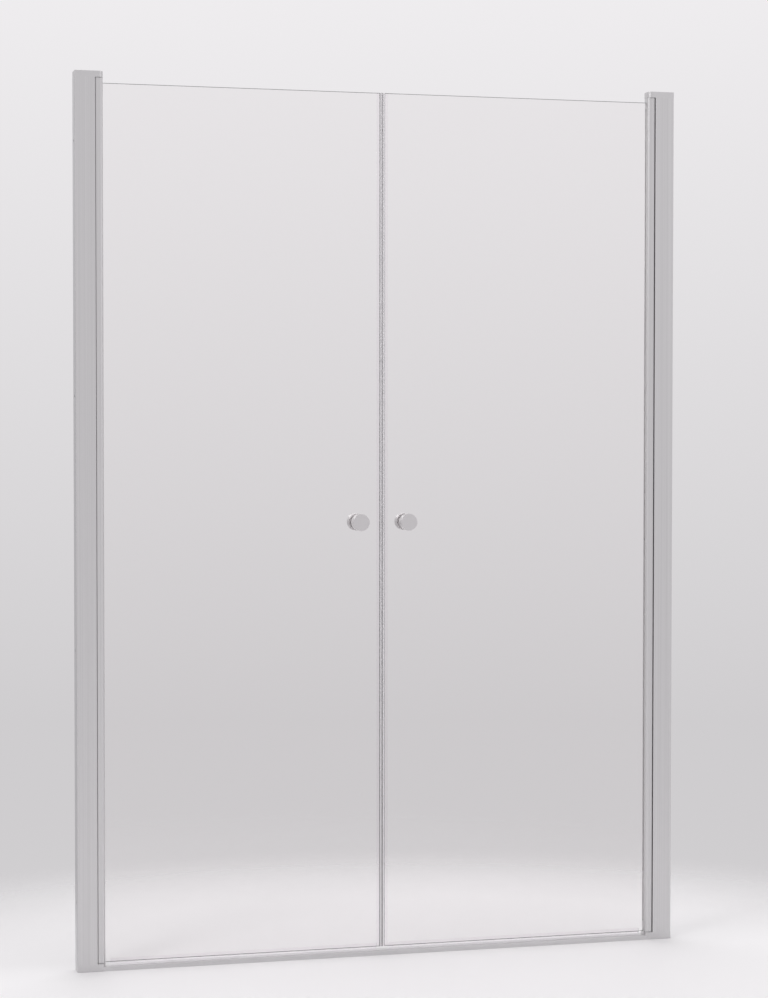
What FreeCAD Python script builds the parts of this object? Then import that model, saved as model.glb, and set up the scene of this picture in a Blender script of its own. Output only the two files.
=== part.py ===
import FreeCAD, Part
import math
import os

from FreeCAD import Vector

# Two-leaf saloon shower door for a niche, in millimetres.
# Z is up from the floor, X runs across the doorway from its middle,
# and Y goes into the shower from the middle of the glass.

# The niche
overall_width = 1378.0
overall_height = 1950.0

# Clearances that serve many pieces
seat_clearance = 0.05
slip_clearance = 0.3
overrun = 5.0

# Hinge post, and the wall channel inside it
post_depth = 34.0
post_reach = 44.6
post_wall = 1.7
post_web = 1.8
post_edge_radius = 0.9
wall_gap = 0.5
channel_web = 2.0
channel_leg = 1.8
channel_end_gap = 3.0
port_wall = 1.7
port_inset = 2.5

# Screws: wall fixing holes, block screws and locking screws
wall_hole_radius = 2.75
wall_hole_margin = 150.0
wall_hole_count = 4
block_screw_radius = 2.0
block_screw_length = 26.0
block_screw_head_radius = 3.9
block_screw_head_height = 2.1
block_screw_sink = 0.2
drive_radius = 1.4
drive_depth = 1.2
locking_screw_radius = 1.95
locking_screw_head_radius = 3.6
locking_screw_head_height = 2.2
locking_screw_tip = 2.0
locking_screw_margin = 300.0
locking_screw_count = 3
cap_wall = 1.3
cap_edge_radius = 1.0

# Pivot profile: the part of a leaf that turns in front of the post
hinge_slot = 1.7
swing_radius = 16.7
swing_clearance = 0.55
profile_reach = 6.4
profile_depth = 27.0
profile_edge_radius = 7.5
profile_skin = 1.8
pin_cover = 2.5
pocket_floor = 1.6
flank_wall_share = 0.32

# Rubber strip in the hinge slot
gap_seal_width = 16.0
gap_seal_rise = 3.2
gap_seal_end_gap = 5.0
gap_seal_groove_width = 9.0
gap_seal_groove_depth = 0.8

# Pivot blocks, bushes, pins and plugs
top_block_height = 13.5
bottom_block_height = 16.5
block_nose_radius = 10.0
block_edge_radius = 0.8
pin_radius = 3.0
pin_end_gap = 1.5
pin_chamfer = 0.5
running_clearance = 0.05
bush_wall = 2.0
bush_length = 10.0
thrust_washer_thickness = 0.5
thrust_washer_inset = 0.2
top_gap = 0.3
plug_head = 1.5
plug_tongue = 25.0
plug_clearance = 0.1

# Glass
glass_thickness = 6.0
glass_arris = 0.6
glass_block_gap = 0.6
glass_top_gap = 10.5
glass_edge_setback = 5.0
notch_gap = 0.6
gasket_wall = 0.9

# Clear seals on the free edge and under the glass
seal_wall = 0.9
seal_clip_depth = 8.0
nose_gap = 0.3
nose_wall = 0.7
nose_bevel = 1.1
magnet_width = 4.4
fin_thickness = 0.8
fin_splay = 1.5
fin_gap = 0.5
bottom_seal_gap = 1.0

# Threshold
threshold_height = 10.0
threshold_inset = 1.0
threshold_wall = 1.5
threshold_edge_radius = 1.2
end_cap_length = 8.0
end_cap_tongue = 12.0

# Knobs
knob_from_middle = 55.3
knob_head_radius = 19.0
knob_head_length = 17.0
knob_neck_radius = 11.5
knob_neck_length = 8.5
knob_edge_radius = 1.2
knob_neck_fillet = 2.0
knob_washer_thickness = 1.0
stud_radius = 4.0
stud_grip = 12.0
stud_end_gap = 1.0
glass_hole_radius = 6.0

# Places that follow from the sizes; u is the distance from a wall
half_width = overall_width / 2
post_half = post_depth / 2
inner_half = post_half - post_wall
channel_half = inner_half - slip_clearance
block_top = bottom_block_height
cap_bottom = overall_height - top_block_height
profile_half = profile_depth / 2
corner_u = post_reach + hinge_slot
axis_u = corner_u + math.sqrt(swing_radius ** 2 - profile_half ** 2)
profile_face_u = axis_u + profile_reach
web_face_u = axis_u - swing_radius - swing_clearance
web_back_u = web_face_u - post_web
port_bore_radius = block_screw_radius + seat_clearance
port_radius = port_bore_radius + port_wall
port_u = web_back_u - port_bore_radius - port_wall / 2
port_v = inner_half - port_radius - port_inset
channel_reach = port_u - port_radius - channel_end_gap
locking_u = (wall_gap + channel_reach) / 2
plug_low = block_top + thrust_washer_thickness
profile_low = plug_low + plug_head
plug_high = cap_bottom - top_gap
profile_high = plug_high - plug_head
glass_half = glass_thickness / 2
clip_inner_half = glass_half + seat_clearance
clip_half = clip_inner_half + seal_wall
pocket_half = clip_inner_half + gasket_wall + seat_clearance
pocket_u = axis_u - pin_radius - seat_clearance - pin_cover - plug_clearance
glass_u = pocket_u + gasket_wall + 2 * seat_clearance
glass_low = block_top + glass_block_gap
glass_high = cap_bottom - glass_top_gap
notch_u = profile_face_u + notch_gap
notch_low = profile_low + plug_tongue + notch_gap
notch_high = profile_high - plug_tongue - notch_gap
glass_free_u = half_width - glass_edge_setback
knob_u = half_width - knob_from_middle
knob_z = (glass_low + glass_high) / 2
knob_base = glass_half + knob_washer_thickness
bush_radius = pin_radius + running_clearance + bush_wall
pin_engagement = bush_length - pin_end_gap
thrust_washer_radius = profile_reach - thrust_washer_inset
bottom_seal_u = axis_u + post_half + bottom_seal_gap
bottom_seal_end_u = glass_free_u - seal_clip_depth - slip_clearance
threshold_half = post_half - threshold_inset
rail_u = profile_face_u + end_cap_length


def at(u, v, z):
    """A point on the left side of the door."""
    return Vector(u - half_width, v, z)


def bar(u_range, v_range, z_range):
    """A square-edged bar between two places on each axis."""
    corner = at(u_range[0], v_range[0], z_range[0])
    lengths = [high - low for low, high in (u_range, v_range, z_range)]
    return Part.makeBox(*lengths, corner)


def upright(radius, u, v, z_range):
    """A round bar standing on end."""
    return Part.makeCylinder(radius, z_range[1] - z_range[0], at(u, v, z_range[0]))


def crosswise(radius, u, z, v_range):
    """A round bar that lies along Y."""
    return Part.makeCylinder(radius, v_range[1] - v_range[0], at(u, v_range[0], z), Vector(0, 1, 0))


def prism(edges, z_range):
    """An upright prism over a closed outline drawn on the floor."""
    face = Part.Face(Part.Wire(edges))
    face.translate(Vector(0, 0, z_range[0]))
    return face.extrude(Vector(0, 0, z_range[1] - z_range[0]))


def line(start, end):
    """A straight edge of an outline on the floor."""
    return Part.LineSegment(at(*start, 0), at(*end, 0)).toShape()


def arc(start, middle, end):
    """A round edge of an outline on the floor."""
    return Part.Arc(at(*start, 0), at(*middle, 0), at(*end, 0)).toShape()


def round_end(tip, half, radius):
    """The end of an outline that faces the doorway, from front to back, with its two corners rounded."""
    turn = radius * math.sqrt(2) / 2
    shoulder = tip - radius
    waist = half - radius
    return [
        arc((shoulder, -half), (shoulder + turn, -waist - turn), (tip, -waist)),
        line((tip, -waist), (tip, waist)),
        arc((tip, waist), (shoulder + turn, waist + turn), (shoulder, half)),
    ]


def join(first, *others):
    """One solid from pieces that meet."""
    return first.fuse(list(others)).removeSplitter()


def both_signs(make):
    """The same thing in front of the glass and behind it."""
    return [make(-1), make(1)]


def span(middle_sign, inner, outer):
    """The stretch from inner to outer, on the front or the shower side."""
    ends = (middle_sign * inner, middle_sign * outer)
    return (min(ends), max(ends))


def upright_edges(shape, keep):
    """Edges along Z whose place passes the test."""
    def is_upright(edge):
        box = edge.BoundBox
        return box.ZLength > box.XLength + box.YLength
    return [edge for edge in shape.Edges if is_upright(edge) and keep(edge.CenterOfMass)]


def rim_edges(shape, z):
    """The edges that lie at one height."""
    def is_level(edge):
        return all(abs(vertex.Z - z) < seat_clearance for vertex in edge.Vertexes)
    return [edge for edge in shape.Edges if is_level(edge)]


def evenly(count, margin):
    """Heights of a row of like features, the same margin from floor and top."""
    pitch = (overall_height - 2 * margin) / (count - 1)
    return [margin + pitch * index for index in range(count)]


def wall_channel():
    """U-shaped extrusion on the wall, from one block to the other."""
    z_range = (block_top, cap_bottom)
    web = bar((0, channel_web), (-channel_half, channel_half), z_range)
    legs = both_signs(lambda sign: bar((0, channel_reach),
                                       span(sign, channel_half - channel_leg, channel_half), z_range))
    channel = join(web, *legs)
    drill_length = channel_web + 2 * overrun
    holes = [Part.makeCylinder(wall_hole_radius, drill_length, at(-overrun, 0, z), Vector(1, 0, 0))
             for z in evenly(wall_hole_count, wall_hole_margin)]
    holes += [crosswise(locking_screw_radius + seat_clearance, locking_u, z, (0, post_depth))
              for z in evenly(locking_screw_count, locking_screw_margin)]
    return channel.cut(holes)


def hinge_post():
    """Visible upright: a box open to the wall, with a shallow recess towards the leaf."""
    z_range = (block_top, cap_bottom)
    outside = bar((wall_gap, post_reach), (-post_half, post_half), z_range)
    outside = outside.makeFillet(post_edge_radius, upright_edges(outside, lambda centre: True))
    cut_z = (block_top - overrun, cap_bottom + overrun)
    hollow = bar((wall_gap - overrun, web_back_u), (-inner_half, inner_half), cut_z)
    recess = bar((web_face_u, post_reach + overrun), (-inner_half, inner_half), cut_z)
    groove = bar((web_face_u - gap_seal_groove_depth, post_reach + overrun),
                 (-gap_seal_groove_width / 2, gap_seal_groove_width / 2), cut_z)
    ports = both_signs(lambda sign: upright(port_radius, port_u, sign * port_v, z_range).common(hollow))
    bores = both_signs(lambda sign: upright(port_bore_radius, port_u, sign * port_v, cut_z))
    bores += [crosswise(locking_screw_radius + slip_clearance, locking_u, z, (0, post_depth))
              for z in evenly(locking_screw_count, locking_screw_margin)]
    shell = outside.cut([hollow, recess])
    return join(shell, *ports).cut([groove] + bores)


def gap_seal():
    """Rubber strip in the post's groove, hollowed to follow the leaf's swing and short of both blocks."""
    z_range = (block_top + gap_seal_end_gap, cap_bottom - gap_seal_end_gap)
    root = bar((web_face_u - gap_seal_groove_depth, web_face_u),
               (-gap_seal_groove_width / 2, gap_seal_groove_width / 2), z_range)
    face = bar((web_face_u, web_face_u + gap_seal_rise), (-gap_seal_width / 2, gap_seal_width / 2), z_range)
    swept = upright(swing_radius + slip_clearance, axis_u, 0, (block_top - overrun, cap_bottom + overrun))
    return join(root, face).cut(swept)


def block_outline(grow):
    """Plan of a pivot block, square at the wall and rounded at the nose, grown by a clearance."""
    back = wall_gap - grow
    shoulder = profile_face_u - block_nose_radius
    half = post_half + grow
    nose = round_end(profile_face_u + grow, half, block_nose_radius + grow)
    back_edges = [line((shoulder, half), (back, half)), line((back, half), (back, -half))]
    return [line((back, -half), (shoulder, -half))] + nose + back_edges


def screw_body(grow):
    """A countersunk screw along Z, head down at zero, grown by a clearance."""
    head = Part.makeCone(block_screw_head_radius + grow, block_screw_radius + grow, block_screw_head_height)
    shank = Part.makeCylinder(block_screw_radius + grow, block_screw_length)
    return join(head, shank)


def screw_places(shape):
    """A shape made at the origin, set at each block screw of one side, bottom pair then top pair."""
    placed = []
    for v in (-port_v, port_v):
        low = shape.copy()
        low.translate(at(port_u, v, 0))
        high = shape.mirror(Vector(0, 0, 0), Vector(0, 0, 1))
        high.translate(at(port_u, v, overall_height))
        placed += [low, high]
    return placed


def pivot_block(z_range, outer_z, bush_z):
    """Block on one end of a post, with a blind seat for the bush and countersunk screw holes."""
    block = prism(block_outline(0), z_range)
    block = block.makeFillet(block_edge_radius, rim_edges(block, outer_z))
    seat = upright(bush_radius + seat_clearance, axis_u, 0, bush_z)
    clear_screw = screw_body(slip_clearance)
    sink = Part.makeCylinder(block_screw_head_radius + slip_clearance, block_screw_sink)
    clear_screw.translate(Vector(0, 0, block_screw_sink))
    return block.cut([seat] + screw_places(join(clear_screw, sink)))


def top_block():
    """Cap on the post that holds the leaf upright."""
    return pivot_block((cap_bottom, overall_height), overall_height, (cap_bottom, cap_bottom + bush_length))


def bottom_block():
    """Foot under the post that carries the leaf."""
    return pivot_block((0, block_top), 0, (block_top - bush_length, block_top))


def block_screws():
    """Screws of one side, each with a six-sided drive in its head."""
    screw = screw_body(0)
    corners = [Vector(drive_radius * math.cos(k * math.pi / 3), drive_radius * math.sin(k * math.pi / 3), 0)
               for k in range(7)]
    drive = Part.Face(Part.makePolygon(corners)).extrude(Vector(0, 0, drive_depth))
    screw = screw.cut(drive)
    screw.translate(Vector(0, 0, block_screw_sink))
    return Part.Compound(screw_places(screw))


def locking_screws():
    """Pan-head screws from the shower side through post and channel."""
    screws = []
    shank_v = (channel_half - channel_leg - locking_screw_tip, post_half)
    head_v = (post_half, post_half + locking_screw_head_height)
    for z in evenly(locking_screw_count, locking_screw_margin):
        shank = crosswise(locking_screw_radius, locking_u, z, shank_v)
        head = crosswise(locking_screw_head_radius, locking_u, z, head_v)
        screws.append(join(shank, head))
    return Part.Compound(screws)


def locking_caps():
    """Push-on covers over the locking screws."""
    caps = []
    inner_radius = locking_screw_head_radius + slip_clearance
    roof_v = post_half + locking_screw_head_height + slip_clearance
    outer_v = roof_v + cap_wall
    for z in evenly(locking_screw_count, locking_screw_margin):
        cover = crosswise(inner_radius + cap_wall, locking_u, z, (post_half, outer_v))
        crown = [edge for edge in cover.Edges
                 if all(abs(vertex.Y - outer_v) < seat_clearance for vertex in edge.Vertexes)]
        cover = cover.makeFillet(cap_edge_radius, crown)
        caps.append(cover.cut(crosswise(inner_radius, locking_u, z, (0, roof_v))))
    return Part.Compound(caps)


def ring(outer_radius, inner_radius, z_range):
    """An upright sleeve or washer about the pivot axis."""
    hole_z = (z_range[0] - overrun, z_range[1] + overrun)
    return upright(outer_radius, axis_u, 0, z_range).cut(upright(inner_radius, axis_u, 0, hole_z))


def top_bush():
    return ring(bush_radius, pin_radius + running_clearance, (cap_bottom, cap_bottom + bush_length))


def bottom_bush():
    return ring(bush_radius, pin_radius + running_clearance, (block_top - bush_length, block_top))


def thrust_washer():
    """Washer on the bottom block that the leaf turns on."""
    return ring(thrust_washer_radius, pin_radius + slip_clearance, (block_top, plug_low))


def profile_outline():
    """Plan of the turning profile: flat front and back, round towards the post."""
    half = profile_half
    shoulder = profile_face_u - profile_edge_radius
    front = line((corner_u, -half), (shoulder, -half))
    back = line((shoulder, half), (corner_u, half))
    heel = arc((corner_u, half), (axis_u - swing_radius, 0), (corner_u, -half))
    return [front] + round_end(profile_face_u, half, profile_edge_radius) + [back, heel]


def pivot_profile():
    """Extrusion with a pocket for the glass and three hollow chambers."""
    cut_z = (profile_low - overrun, profile_high + overrun)
    pocket = bar((pocket_u, profile_face_u + overrun), (-pocket_half, pocket_half), cut_z)
    inside = upright(swing_radius - profile_skin, axis_u, 0, cut_z)
    inside_half = profile_half - profile_skin
    chamber = inside.common(bar((0, pocket_u - pocket_floor), (-inside_half, inside_half), cut_z))
    flank_wall = (profile_half - pocket_half) * flank_wall_share
    flank_u = (pocket_u, profile_face_u - profile_edge_radius)
    flanks = both_signs(lambda sign: bar(
        flank_u, span(sign, pocket_half + flank_wall, profile_half - flank_wall), cut_z))
    return prism(profile_outline(), (profile_low, profile_high)).cut([pocket, chamber] + flanks)


def end_plug(head_z, tongue_z):
    """Plug with the profile's outline and a tongue in its pocket, bored for the pivot pin."""
    head = prism(profile_outline(), head_z)
    half = pocket_half - plug_clearance
    tongue = bar((pocket_u + plug_clearance, profile_face_u - plug_clearance), (-half, half), tongue_z)
    bore_z = (plug_low - overrun, plug_high + overrun)
    return join(head, tongue).cut(upright(pin_radius + seat_clearance, axis_u, 0, bore_z))


def top_plug():
    return end_plug((profile_high, plug_high), (profile_high - plug_tongue, profile_high))


def bottom_plug():
    return end_plug((plug_low, profile_low), (profile_low, profile_low + plug_tongue))


def pivot_pin(z_range):
    """Pin fixed in an end plug and running in a bush."""
    pin = upright(pin_radius, axis_u, 0, z_range)
    return pin.makeChamfer(pin_chamfer, rim_edges(pin, z_range[0]) + rim_edges(pin, z_range[1]))


def top_pin():
    return pivot_pin((profile_high - plug_tongue, cap_bottom + pin_engagement))


def bottom_pin():
    return pivot_pin((block_top - pin_engagement, profile_low + plug_tongue))


def glass_pane():
    """Pane with ground edges, notched at both hinge corners for the plugs."""
    faces_v = (-glass_half, glass_half)
    pane = bar((glass_u, glass_free_u), faces_v, (glass_low, glass_high))

    def is_ground(edge):
        centre = edge.CenterOfMass
        on_face = abs(abs(centre.y) - glass_half) < seat_clearance
        return on_face and centre.x > at(notch_u, 0, 0).x
    pane = pane.makeChamfer(glass_arris, [edge for edge in pane.Edges if is_ground(edge)])
    notch_v = (-glass_thickness, glass_thickness)
    low_notch = bar((glass_u - overrun, notch_u), notch_v, (glass_low - overrun, notch_low))
    high_notch = bar((glass_u - overrun, notch_u), notch_v, (notch_high, glass_high + overrun))
    hole = crosswise(glass_hole_radius, knob_u, knob_z, notch_v)
    return pane.cut([low_notch, high_notch, hole])


def glazing_gasket():
    """U-shaped soft strip between glass and pocket."""
    z_range = (notch_low, notch_high)
    half = pocket_half - seat_clearance
    outside = bar((pocket_u + seat_clearance, profile_face_u), (-half, half), z_range)
    inside = bar((glass_u - seat_clearance, profile_face_u + overrun), (-clip_inner_half, clip_inner_half),
                 (notch_low - overrun, notch_high + overrun))
    return outside.cut(inside)


def closing_seal_chamber(clearance):
    """Space for the magnet in the closing seal, or the magnet itself when given a clearance."""
    half = magnet_width / 2 - clearance
    low_u = glass_free_u + seat_clearance + seal_wall + clearance
    high_u = half_width - nose_gap - nose_wall - clearance
    return bar((low_u, high_u), (-half, half), (glass_low, glass_high))


def closing_seal():
    """Clear strip clipped on the free edge, with a magnet chamber in its nose."""
    z_range = (glass_low, glass_high)
    nose_u = half_width - nose_gap
    outside = bar((glass_free_u - seal_clip_depth, nose_u), (-clip_half, clip_half), z_range)
    nose_x = at(nose_u, 0, 0).x
    outside = outside.makeChamfer(
        nose_bevel, upright_edges(outside, lambda centre: abs(centre.x - nose_x) < seat_clearance))
    slot = bar((glass_free_u - seal_clip_depth - overrun, glass_free_u + seat_clearance),
               (-clip_inner_half, clip_inner_half), z_range)
    return outside.cut([slot, closing_seal_chamber(0)])


def magnet_strip():
    """Bar that fills the closing seal's chamber and pulls the two leaves together."""
    return closing_seal_chamber(seat_clearance)


def bottom_seal():
    """Clear strip clipped under the glass, with two fins that reach down to the threshold."""
    u_range = (bottom_seal_u, bottom_seal_end_u)
    base_low = glass_low - seat_clearance - seal_wall
    outside = bar(u_range, (-clip_half, clip_half), (base_low, glass_low + seal_clip_depth))
    slot = bar((bottom_seal_u - overrun, bottom_seal_end_u + overrun), (-clip_inner_half, clip_inner_half),
               (glass_low - seat_clearance, glass_low + seal_clip_depth + overrun))

    def fin(sign):
        inner = clip_half - fin_splay - fin_thickness
        outline = [(inner, base_low), (inner + fin_thickness, base_low),
                   (clip_half, threshold_height + fin_gap),
                   (clip_half - fin_thickness, threshold_height + fin_gap)]
        corners = [at(bottom_seal_u, sign * v, z) for v, z in outline + outline[:1]]
        return Part.Face(Part.makePolygon(corners)).extrude(Vector(bottom_seal_end_u - bottom_seal_u, 0, 0))
    return join(outside.cut(slot), *both_signs(fin))


def knob(sign):
    """Turned knob on its neck, drilled for the stud; sign picks the front or the shower side."""
    shoulder = knob_base + knob_neck_length
    neck = crosswise(knob_neck_radius, knob_u, knob_z, span(sign, knob_base, shoulder))
    head = crosswise(knob_head_radius, knob_u, knob_z, span(sign, shoulder, shoulder + knob_head_length))
    head = head.makeFillet(knob_edge_radius, [edge for edge in head.Edges if edge.Closed])
    body = join(head, neck)

    def is_corner(edge):
        at_shoulder = abs(abs(edge.CenterOfMass.y) - shoulder) < seat_clearance
        return edge.Closed and at_shoulder and abs(edge.Curve.Radius - knob_neck_radius) < seat_clearance
    body = body.makeFillet(knob_neck_fillet, [edge for edge in body.Edges if is_corner(edge)])
    bore_v = span(sign, knob_base, knob_base + stud_grip + stud_end_gap)
    return body.cut(crosswise(stud_radius + seat_clearance, knob_u, knob_z, bore_v))


def knob_stud():
    """Stud through the glass that joins the two knobs of a leaf."""
    reach = knob_base + stud_grip
    return crosswise(stud_radius, knob_u, knob_z, (-reach, reach))


def knob_ring(outer_radius, inner_radius, v_range):
    """A sleeve or washer round the stud."""
    hole = crosswise(inner_radius, knob_u, knob_z, (v_range[0] - overrun, v_range[1] + overrun))
    return crosswise(outer_radius, knob_u, knob_z, v_range).cut(hole)


def knob_washers():
    """A washer against each face of the glass."""
    hole_radius = stud_radius + slip_clearance
    return Part.Compound(both_signs(
        lambda sign: knob_ring(knob_neck_radius, hole_radius, span(sign, glass_half, knob_base))))


def knob_sleeve():
    """Sleeve that keeps the stud off the glass."""
    hole_radius = stud_radius + seat_clearance
    return knob_ring(glass_hole_radius - seat_clearance, hole_radius, (-glass_half, glass_half))


def rounded_threshold(u_range):
    """A solid length of the threshold with its two upper edges rounded."""
    length = bar(u_range, (-threshold_half, threshold_half), (0, threshold_height))
    upper = [edge for edge in rim_edges(length, threshold_height)
             if abs(abs(edge.CenterOfMass.y) - threshold_half) < seat_clearance]
    return length.makeFillet(threshold_edge_radius, upper)


def threshold_hollows(u_range, clearance):
    """The two chambers of the rail, or what fills them when given a clearance."""
    wall = threshold_wall + clearance
    rib = threshold_wall / 2 + clearance
    return both_signs(lambda sign: bar(u_range, span(sign, rib, threshold_half - wall),
                                       (wall, threshold_height - wall)))


def threshold_rail():
    """Hollow strip on the floor between the two blocks."""
    rail_range = (rail_u, overall_width - rail_u)
    cut_range = (rail_u - overrun, overall_width - rail_u + overrun)
    return rounded_threshold(rail_range).cut(threshold_hollows(cut_range, 0))


def threshold_end_cap():
    """Moulded end of the rail, hollowed round the block's nose, with two tongues in the rail."""
    cap = rounded_threshold((profile_face_u - block_nose_radius, rail_u))
    nose = prism(block_outline(seat_clearance), (-overrun, block_top))
    tongues = threshold_hollows((rail_u, rail_u + end_cap_tongue), plug_clearance)
    return join(cap.cut(nose), *tongues)


def other_side(shape):
    """The same piece on the right of the doorway."""
    return shape.mirror(Vector(0, 0, 0), Vector(1, 0, 0))


# Pieces that come once on each side
paired_pieces = {
    "wall_channel": wall_channel,
    "hinge_post": hinge_post,
    "hinge_gap_seal": gap_seal,
    "top_pivot_block": top_block,
    "bottom_pivot_block": bottom_block,
    "top_bush": top_bush,
    "bottom_bush": bottom_bush,
    "thrust_washer": thrust_washer,
    "pivot_profile": pivot_profile,
    "top_end_plug": top_plug,
    "bottom_end_plug": bottom_plug,
    "top_pivot_pin": top_pin,
    "bottom_pivot_pin": bottom_pin,
    "glass_pane": glass_pane,
    "glazing_gasket": glazing_gasket,
    "closing_seal": closing_seal,
    "magnet_strip": magnet_strip,
    "bottom_seal": bottom_seal,
    "outer_knob": lambda: knob(-1),
    "inner_knob": lambda: knob(1),
    "knob_stud": knob_stud,
    "knob_washers": knob_washers,
    "knob_sleeve": knob_sleeve,
}

# Like pieces of both sides that share a node
grouped_pieces = {
    "block_screws": block_screws,
    "locking_screws": locking_screws,
    "locking_screw_caps": locking_caps,
    "threshold_end_caps": threshold_end_cap,
}


def save(name, shape):
    if not shape.isValid():
        raise ValueError("not a valid solid: " + name)
    shape.exportStep("parts/" + name + ".step")


def main():
    os.makedirs("parts", exist_ok=True)
    for name, make in paired_pieces.items():
        piece = make()
        save("left_" + name, piece)
        save("right_" + name, other_side(piece))
    for name, make in grouped_pieces.items():
        group = make()
        save(name, Part.Compound([group, other_side(group)]))
    save("threshold_rail", threshold_rail())


main()
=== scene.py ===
"""A two-leaf saloon shower door, dressed with its glass, seals, knobs and finishes."""

import math

import bmesh
import bpy
from bpy.props import FloatProperty, FloatVectorProperty, PointerProperty
from mathutils import Matrix, Vector


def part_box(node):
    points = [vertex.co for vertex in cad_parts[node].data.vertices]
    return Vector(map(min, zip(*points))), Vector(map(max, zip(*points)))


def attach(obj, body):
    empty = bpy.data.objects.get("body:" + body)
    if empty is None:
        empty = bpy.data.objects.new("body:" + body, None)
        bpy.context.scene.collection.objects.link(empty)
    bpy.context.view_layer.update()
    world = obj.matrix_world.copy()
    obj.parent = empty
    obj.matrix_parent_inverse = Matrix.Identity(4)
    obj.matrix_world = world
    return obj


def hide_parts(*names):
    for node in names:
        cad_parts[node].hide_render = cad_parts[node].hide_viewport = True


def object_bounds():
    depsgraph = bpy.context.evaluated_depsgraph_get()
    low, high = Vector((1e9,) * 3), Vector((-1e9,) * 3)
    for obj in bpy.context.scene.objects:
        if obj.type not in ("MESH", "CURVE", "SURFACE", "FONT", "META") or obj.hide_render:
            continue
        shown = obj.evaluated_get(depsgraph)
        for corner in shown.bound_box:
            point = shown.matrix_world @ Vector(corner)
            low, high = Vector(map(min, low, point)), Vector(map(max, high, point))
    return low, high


bl_info = {
    "name": "Saloon shower door",
    "version": (1, 0, 0),
    "blender": (4, 5, 0),
    "location": "3D View > Sidebar > Shower door",
    "description": "Dresses a two-leaf shower door with its glass, seals, knobs and finishes",
    "category": "Object",
}

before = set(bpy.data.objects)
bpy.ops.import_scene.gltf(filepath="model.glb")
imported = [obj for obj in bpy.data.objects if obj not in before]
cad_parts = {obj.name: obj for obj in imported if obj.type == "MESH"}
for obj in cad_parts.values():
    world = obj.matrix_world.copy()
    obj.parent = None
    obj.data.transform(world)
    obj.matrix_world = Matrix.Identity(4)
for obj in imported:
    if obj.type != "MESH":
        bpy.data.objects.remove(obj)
cad_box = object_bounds()

MILLIMETRE = 0.001
SIDES = ("left", "right")


def linear(code):
    """An sRGB hex colour as linear red, green and blue."""
    channels = [int(code[place:place + 2], 16) / 255 for place in (1, 3, 5)]
    return [value / 12.92 if value <= 0.04045 else ((value + 0.055) / 1.055) ** 2.4 for value in channels]


def length(name, description, millimetres):
    """A size that a user can change, given in millimetres."""
    return FloatProperty(name=name, description=description, default=millimetres * MILLIMETRE, min=0.0,
                         unit="LENGTH", precision=5)


def colour(name, description, code):
    """A colour that a user can change, given as sRGB hex."""
    return FloatVectorProperty(name=name, description=description, subtype="COLOR", size=3, min=0.0, max=1.0,
                               default=linear(code))


def power(name, description, watts):
    """A lamp's power that a user can change."""
    return FloatProperty(name=name, description=description, default=watts, min=0.0, unit="POWER")


def angle(name, description, radians):
    """An angle that a user can change."""
    return FloatProperty(name=name, description=description, default=radians, subtype="ANGLE")


class DoorSizes(bpy.types.PropertyGroup):
    """Sizes of the details that the construction model keeps plain."""

    glass_arris: length("Glass arris", "Width of the ground bevel along every edge of a pane", 0.8)
    glass_corner: length("Glass corner", "Rounding of a pane's corners", 1.6)
    notch_gap: length("Notch gap", "Air between a pane's hinge notches and the end plugs", 0.6)
    seat_gap: length("Seat gap", "Air between a clipped or seated piece and what holds it", 0.05)
    nose_rounding: length("Nose rounding", "Rounding of the closing strip where the leaves meet", 1.5)
    lip_rounding: length("Lip rounding", "Rounding of the strips' lips on the glass", 0.4)
    strip_wall: length("Strip wall", "Thickness of the clear strips' walls", 0.9)
    fin_tip: length("Fin tip", "Thickness of the bottom strip's fins at their lower edge", 0.35)
    fin_root: length("Fin root", "Thickness of the bottom strip's fins where they start", 0.9)
    knob_rim: length("Knob rim", "Rounding of the knob's front and back rims", 1.2)
    knob_throat: length("Knob throat", "Rounding between the knob's neck and head", 2.0)
    knob_bore: length("Knob bore", "Depth of the stud's hole in a knob", 13.0)


class DoorFinish(bpy.types.PropertyGroup):
    """Colours of the materials."""

    aluminium: colour("Aluminium", "Satin anodised aluminium", "#D6D5D6")
    aluminium_line: colour("Aluminium lines", "Faint die lines in the aluminium", "#CECDCE")
    mill: colour("Mill aluminium", "Untreated aluminium inside the posts", "#D2D3D5")
    glass: colour("Glass", "Tint of the clear float glass", "#FBFAFA")
    ground: colour("Ground edge", "Ground edges of the panes", "#767878")
    chrome: colour("Chrome", "Satin chrome of the knobs", "#D5D3D4")
    steel: colour("Steel", "Stainless pins, studs and screws", "#B9B8B6")
    vinyl: colour("Clear vinyl", "Clear strips and washers", "#FDFCFD")
    rubber: colour("Rubber", "Rubber strip in the hinge slot", "#3A383A")
    gasket: colour("Gasket", "Light grey gaskets round the glass", "#D6D4D5")
    # The dark magnet faces where the leaves meet are partly real and partly painted shade for the narrow gap
    # between the leaves
    ferrite_and_gap_shade: colour("Ferrite", "Bare faces of the magnets, where the leaves meet", "#3B3A3C")
    magnet: colour("Magnet", "White skin of the magnets in the closing strips", "#DDDCDD")
    acetal: colour("Acetal", "White bushes, washers and sleeves", "#E6E5E0")


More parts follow.
